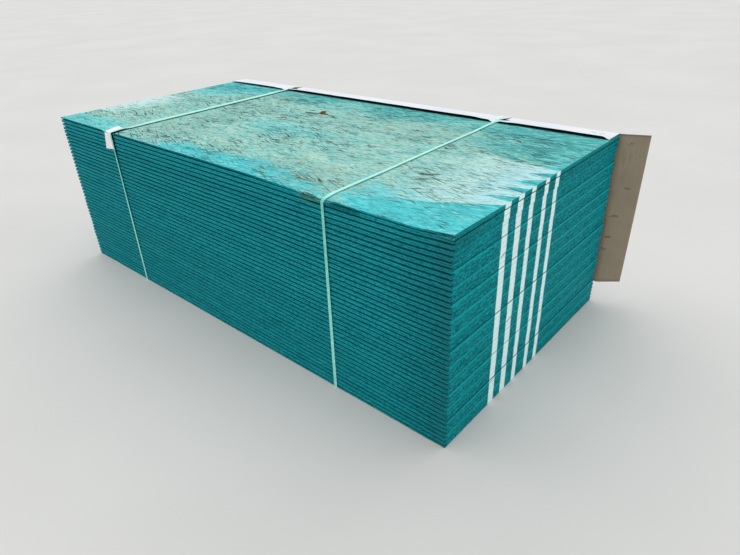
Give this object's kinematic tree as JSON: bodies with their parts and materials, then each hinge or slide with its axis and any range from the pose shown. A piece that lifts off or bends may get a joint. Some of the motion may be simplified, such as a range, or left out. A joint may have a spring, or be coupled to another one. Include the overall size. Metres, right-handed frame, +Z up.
{
  "type": "strapped stack of osb panels",
  "caption": "Strapped stack of tongue-and-groove OSB floor panels with painted edges, plastic straps, edge guards and a cover sheet folded over one long top edge.",
  "frame": {"origin": "on the ground, under the middle of the box round the whole unit with its straps, guards and cover sheet; the panels' own middle is at X -0.054 m, Y -0.026 m", "axes": "+X along the panels towards the end where the cover sheet stands out, +Y across them from the grooved edges to the tongued edges, +Z up"},
  "size_m": [2.5494, 1.3008, 0.8056],
  "materials": {
    "painted_osb": "matte",
    "cover_paper": "matte",
    "guard_board": "matte",
    "plastic_strap": "satin"
  },
  "bodies": {
    "root": {"panel_01": "painted_osb", "panel_02": "painted_osb", "panel_03": "painted_osb", "panel_04": "painted_osb", "panel_05": "painted_osb", "panel_06": "painted_osb", "panel_07": "painted_osb", "panel_08": "painted_osb", "panel_09": "painted_osb", "panel_10": "painted_osb", "panel_11": "painted_osb", "panel_12": "painted_osb", "panel_13": "painted_osb", "panel_14": "painted_osb", "panel_15": "painted_osb", "panel_16": "painted_osb", "panel_17": "painted_osb", "panel_18": "painted_osb", "panel_19": "painted_osb", "panel_20": "painted_osb", "panel_21": "painted_osb", "panel_22": "painted_osb", "panel_23": "painted_osb", "panel_24": "painted_osb", "panel_25": "painted_osb", "panel_26": "painted_osb", "panel_27": "painted_osb", "panel_28": "painted_osb", "panel_29": "painted_osb", "panel_30": "painted_osb", "panel_31": "painted_osb", "panel_32": "painted_osb", "panel_33": "painted_osb", "panel_34": "painted_osb", "panel_35": "painted_osb", "panel_36": "painted_osb", "panel_37": "painted_osb", "panel_38": "painted_osb", "panel_39": "painted_osb", "panel_40": "painted_osb", "panel_41": "painted_osb", "panel_42": "painted_osb", "cover_sheet": "cover_paper", "guard_front_left": "guard_board", "guard_rear_left": "guard_board", "guard_rear_right": "guard_board", "strap_left": "plastic_strap", "strap_right": "plastic_strap"}
  },
  "joints": []
}
